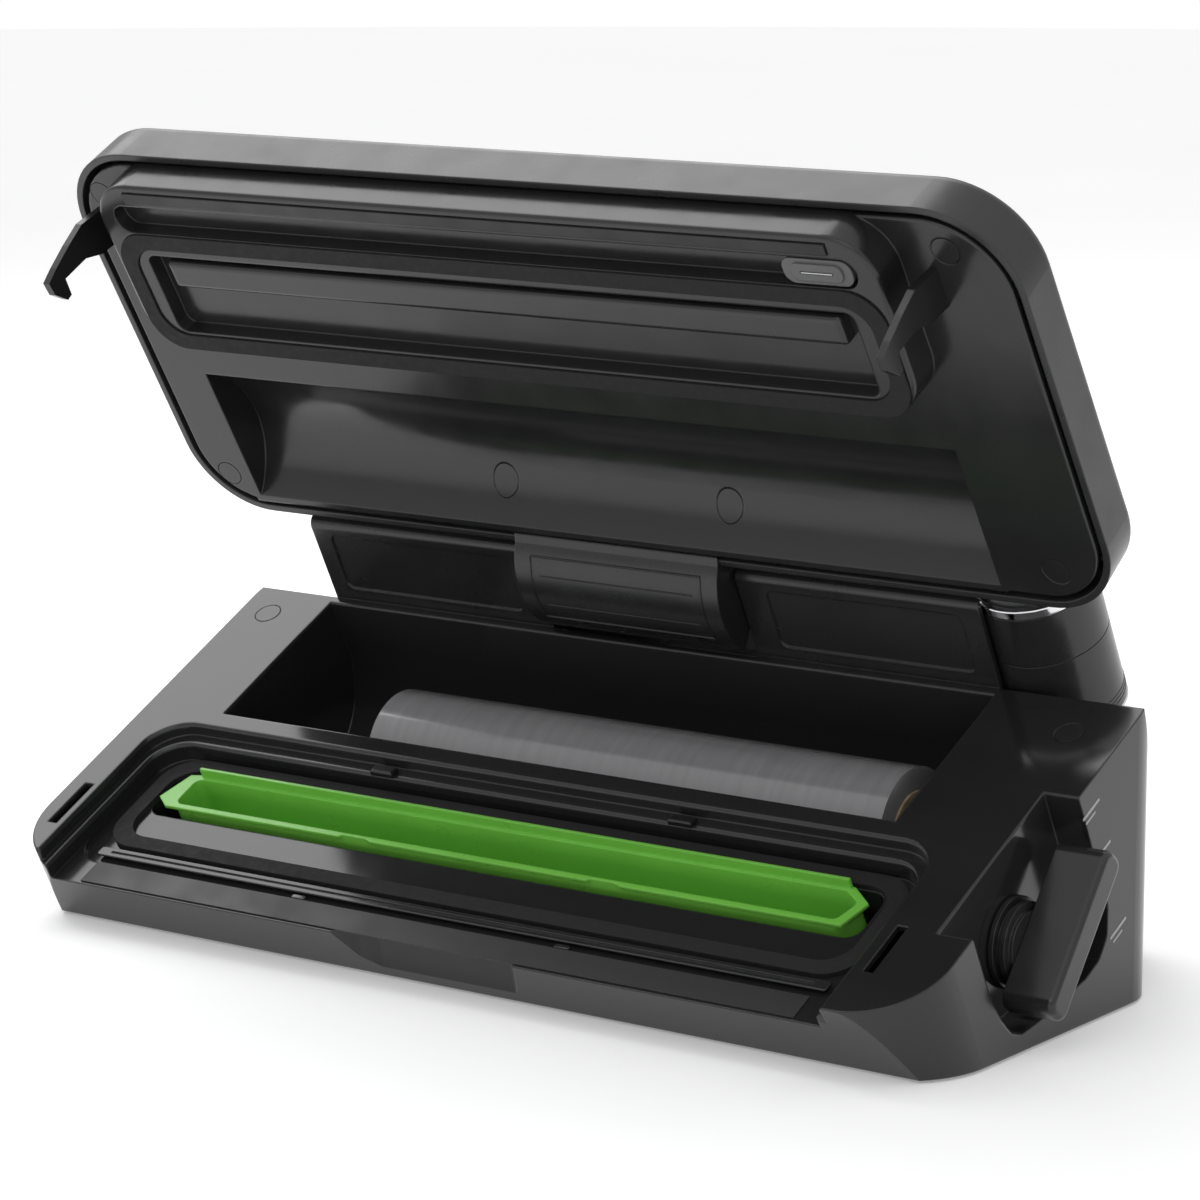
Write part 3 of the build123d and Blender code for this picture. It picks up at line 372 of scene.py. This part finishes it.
# ---------------------------------------------------------------- details
BASE_BOTTOM = -40.0            # underside of the bottom cover, level frame
SIDE_U = 206.5                 # right-hand face of the base, across from the lever
LID_TOP = 25.0                 # the closed lid's outer face, above the deck
PANEL_TOP = LID_TOP + 0.25
BUTTON_TOP, BUTTON_V = LID_TOP + 1.3, 4.0
BUTTONS = {"power": (-120, 7), "food": (-70, 7), "speed": (-30, 7), "seal": (40, 9), "vacuum": (90, 9)}
SCREWS = ((-60, 12), (75, 12), (-176, 110), (192, 110), (-60, 175), (60, 175))
ROLL_ENDS, ROLL_AXIS = ((130.0, 1), (-97.0, -1)), (92.26, -32.61)
WAND_U, WAND_V, WAND_R = 157.0, 161.5, 22.0
HINGE_V, HINGE_W, KNUCKLE_R = 155.6, 24.5, 30.0
# turns a plan drawn in (v, w) to face the right-hand side
TO_SIDE = Matrix(((0, 0, 1, 0), (1, 0, 0, 0), (0, 1, 0, 0), (0, 0, 0, 1)))


def bar_plan(u, v, length, width, angle=0.0):
    """Round-ended bar outline centred on (u, v)."""
    outline = rounded_plan(-length / 2, length / 2, -width / 2, width / 2, width * 0.45, 4)
    c, s = cos(angle), sin(angle)
    return [(u + x * c - y * s, v + x * s + y * c) for x, y in outline]


def disc_plan(u, v, r, steps=24):
    turns = [2 * pi * k / steps for k in range(steps)]
    return [(u + r * cos(a), v + r * sin(a)) for a in turns]


def lever_marks():
    """Plain printed marks that show the lever's positions, in place of lettering."""
    mesh = bmesh.new()
    for v, w in ((92, -9), (92, -27), (89, -58.5)):
        slab(mesh, bar_plan(v, w, 12, 1.1), 0, 0.1, 0)
        slab(mesh, bar_plan(v - 1.5, w - 2.4, 7, 0.8), 0, 0.1, 0)
    place = DECK @ Matrix.Translation((SIDE_U, 0, 0)) @ TO_SIDE
    keep("lever_marks", mesh, place, "base", "mark")


def knuckle_cover():
    """Raised outline and two shallow ribs on the barrel's visible front."""
    def at(u, angle):
        a = radians(angle)
        return u, HINGE_V + KNUCKLE_R * cos(a), HINGE_W + KNUCKLE_R * sin(a)

    mesh = bmesh.new()
    outline = [at(u, 236 + 52 * k / 12) for u, order in ((-38, 1), (38, -1)) for k in range(13)[::order]]
    bead(mesh, outline, 0.45, closed=True, sides=8)
    for angle in (250, 274):
        bead(mesh, [at(u, angle) for u in (-34, 0, 34)], 0.3, sides=8)
    keep("knuckle_cover_lines", mesh, LID, "lid", "knuckle_black")


def seal_nubs():
    """Two small stops beside the sealing strip."""
    mesh = bmesh.new()
    for u in (-62, 55):
        slab(mesh, rounded_plan(u - 3, u + 3, -16.6, -14.8, 0.6, 4), -11.0, -10.4, 0.2)
    keep("seal_stops", mesh, DECK, "base", "rail_black")


def panel_marks():
    """Plain symbols beside the panel's buttons, and three rows of small lamps."""
    mesh = bmesh.new()
    for u, r in BUTTONS.values():
        slab(mesh, bar_plan(u, 16.5, 9, 0.9), PANEL_TOP, PANEL_TOP + 0.1, 0)
        slab(mesh, bar_plan(u, -8.4, 6, 0.8), PANEL_TOP, PANEL_TOP + 0.1, 0)
    for u, angle in ((4, 0.8), (8, -0.8)):
        slab(mesh, bar_plan(u, BUTTON_V, 6, 0.8, angle), PANEL_TOP, PANEL_TOP + 0.1, 0)
    keep("panel_symbols", mesh, LID, "lid", "mark")
    rows = (("food_lamps", -51, "wand_green"), ("speed_lamps", -12, "mark"), ("work_lamps", 64, "mark"))
    for name, u, material in rows:
        mesh = bmesh.new()
        for v in (-2, 4, 10):
            slab(mesh, disc_plan(u, v, 1.2), PANEL_TOP, PANEL_TOP + 0.22, 0.15)
        keep(name, mesh, LID, "lid", material)


def button_rings():
    """Raised ring on each button's face."""
    for name, (u, r) in BUTTONS.items():
        mesh = bmesh.new()
        rim = [(0, r - 2.6), (0.18, r - 2.3), (0.18, r - 2.0), (0, r - 1.7)]
        turned(mesh, rim, (u, BUTTON_V, BUTTON_TOP), (0, 0, 1), 48)
        keep(name + "_ring", mesh, LID, name + "_key", "button_grey")


def screw_recesses():
    """Cross recesses in the heads of the bottom screws, drawn as thin near-black bars: painted shade for the
    inside of each recess.
    """
    mesh = bmesh.new()
    for x, y in SCREWS:
        for angle in (0.4, 0.4 + pi / 2):
            slab(mesh, bar_plan(x, y, 3.6, 0.8, angle), BASE_BOTTOM + 0.4, BASE_BOTTOM + 0.5, 0)
    keep("screw_recesses", mesh, LEVEL, "base", "seam")


def rating_plate():
    """Blank label on the underside with a thin printed border."""
    face = BASE_BOTTOM - 0.12
    mesh = bmesh.new()
    slab(mesh, rounded_plan(-32, 38, 62, 96, 3), face, BASE_BOTTOM + 0.02, 0)
    keep("rating_plate", mesh, LEVEL, "base", "button_grey")
    mesh = bmesh.new()
    border = rounded_plan(-30, 36, 64, 94, 2.4)
    bead(mesh, [(x, y, face) for x, y in border], 0.2, closed=True, sides=6)
    keep("rating_border", mesh, LEVEL, "base", "seam")


def roll_layers():
    """Edges of the wound layers at both ends of the film roll."""
    mesh = bmesh.new()
    for u, out in ROLL_ENDS:
        for k in range(9):
            r = 16.0 + 0.8 * k
            ridge = [(0, r), (0.12, r + 0.15), (0.12, r + 0.35), (0, r + 0.5)]
            turned(mesh, ridge, (u, *ROLL_AXIS), (out, 0, 0), 72)
    keep("roll_layers", mesh, DECK, "roll", "film")


def wand_details():
    """Parting line and a band of grip ribs round the wand's lower half."""
    r = WAND_R
    rib = [(-0.35, r - 0.1), (-0.2, r + 0.16), (0.2, r + 0.16), (0.35, r - 0.1)]
    line = [(-0.2, r - 0.6), (-0.2, r - 0.25), (0.2, r - 0.25), (0.2, r - 0.6)]
    mesh = bmesh.new()
    for w in (-19.5, -18.0, -16.5):
        turned(mesh, rib, (WAND_U, WAND_V, w), (0, 0, 1), 72)
    keep("wand_grip_ribs", mesh, DECK, "base", "wand_black")
    mesh = bmesh.new()
    turned(mesh, line, (WAND_U, WAND_V, 8.8), (0, 0, 1), 72)
    keep("wand_parting_line", mesh, DECK, "base", "seam")


for make in (lever_marks, knuckle_cover, seal_nubs, panel_marks, button_rings, screw_recesses,
             rating_plate, roll_layers, wand_details):
    make()


# ---------------------------------------------------------------- studio
CAMERA_AT = Vector((923.8, -1277.7, 418.6)) * MM
CAMERA_TO = Vector((-50.1, 59.6, 113.0)) * MM
LAMP_AIM = Vector((0, 0, 0.12))
DOME = ((0.45, rgb(0.55, 0.55, 0.56)), (0.9, rgb(0.85, 0.85, 0.86)))   # height on the dome and its tone


def camera():
    eye = bpy.data.objects.new("camera", bpy.data.cameras.new("camera"))
    eye.data.lens = 134.2
    eye.data.sensor_width = 36
    eye.location = CAMERA_AT
    eye.rotation_mode = "QUATERNION"
    eye.rotation_quaternion = (CAMERA_TO - CAMERA_AT).to_track_quat("-Z", "Y")
    bpy.context.collection.objects.link(eye)
    bpy.context.scene.camera = eye


def pale_floor():
    """Wide pale disc that the machine stands on, drawn in metres."""
    mesh = bmesh.new()
    turned(mesh, [(-0.02, 0.001), (-0.02, 6.0), (0, 6.0), (0, 0.001)], (0, 0, 0), (0, 0, 1), 96)
    data = bpy.data.meshes.new("floor")
    mesh.to_mesh(data)
    mesh.free()
    floor = bpy.data.objects.new("floor", data)
    bpy.context.collection.objects.link(floor)
    g = Graph("floor_pale")
    tones = rgb(0.86, 0.86, 0.86), rgb(0.88, 0.88, 0.88)
    g.feed(g.shader, "Base Color", g.mix(g.spread(g.noise(3, 4), 0, 1), *tones))
    g.feed(g.shader, "Roughness", g.spread(g.noise(20, 3), 0.75, 0.9))
    g.feed(g.shader, "Emission Color", rgb(1, 1, 1))
    g.feed(g.shader, "Emission Strength", 0.25)
    data.materials.append(g.material)


def softbox(name, toward, distance, size, power):
    """Soft rectangular lamp in a direction from the machine, facing it."""
    light = bpy.data.lights.new(name, "AREA")
    light.shape = "RECTANGLE"
    light.size, light.size_y = size
    light.energy = power
    lamp = bpy.data.objects.new(name, light)
    lamp.location = LAMP_AIM + Vector(toward).normalized() * distance
    lamp.rotation_mode = "QUATERNION"
    lamp.rotation_quaternion = (-Vector(toward)).to_track_quat("-Z", "Y")
    bpy.context.collection.objects.link(lamp)


def surroundings():
    """Grey dome, lighter overhead, that lights the machine; the camera itself sees plain white."""
    world = bpy.data.worlds.new("studio")
    bpy.context.scene.world = world
    world.use_nodes = True
    tree = world.node_tree
    tree.nodes.clear()
    coordinates = tree.nodes.new("ShaderNodeTexCoord")
    split = tree.nodes.new("ShaderNodeSeparateXYZ")
    ramp = tree.nodes.new("ShaderNodeValToRGB")
    for stop, (position, colour) in zip(ramp.color_ramp.elements, DOME):
        stop.position = position
        stop.color = colour
    shift = tree.nodes.new("ShaderNodeMapRange")
    shift.inputs["From Min"].default_value = -1
    dome = tree.nodes.new("ShaderNodeBackground")
    plain = tree.nodes.new("ShaderNodeBackground")
    plain.inputs["Color"].default_value = rgb(1, 1, 1)
    rays = tree.nodes.new("ShaderNodeLightPath")
    mix = tree.nodes.new("ShaderNodeMixShader")
    out = tree.nodes.new("ShaderNodeOutputWorld")
    joins = ((coordinates.outputs["Generated"], split.inputs[0]),
             (split.outputs["Z"], shift.inputs["Value"]),
             (shift.outputs["Result"], ramp.inputs[0]),
             (ramp.outputs["Color"], dome.inputs["Color"]),
             (rays.outputs["Is Camera Ray"], mix.inputs[0]),
             (dome.outputs[0], mix.inputs[1]),
             (plain.outputs[0], mix.inputs[2]),
             (mix.outputs[0], out.inputs[0]))
    for start, end in joins:
        tree.links.new(start, end)


camera()
pale_floor()
softbox("key_softbox", (-0.58, 0.28, 0.77), 1.6, (1.6, 1.3), 14)
softbox("front_softbox", (0.3, -1.0, 0.75), 2.2, (1.6, 1.0), 5)
surroundings()
bpy.context.scene.view_settings.view_transform = "Standard"
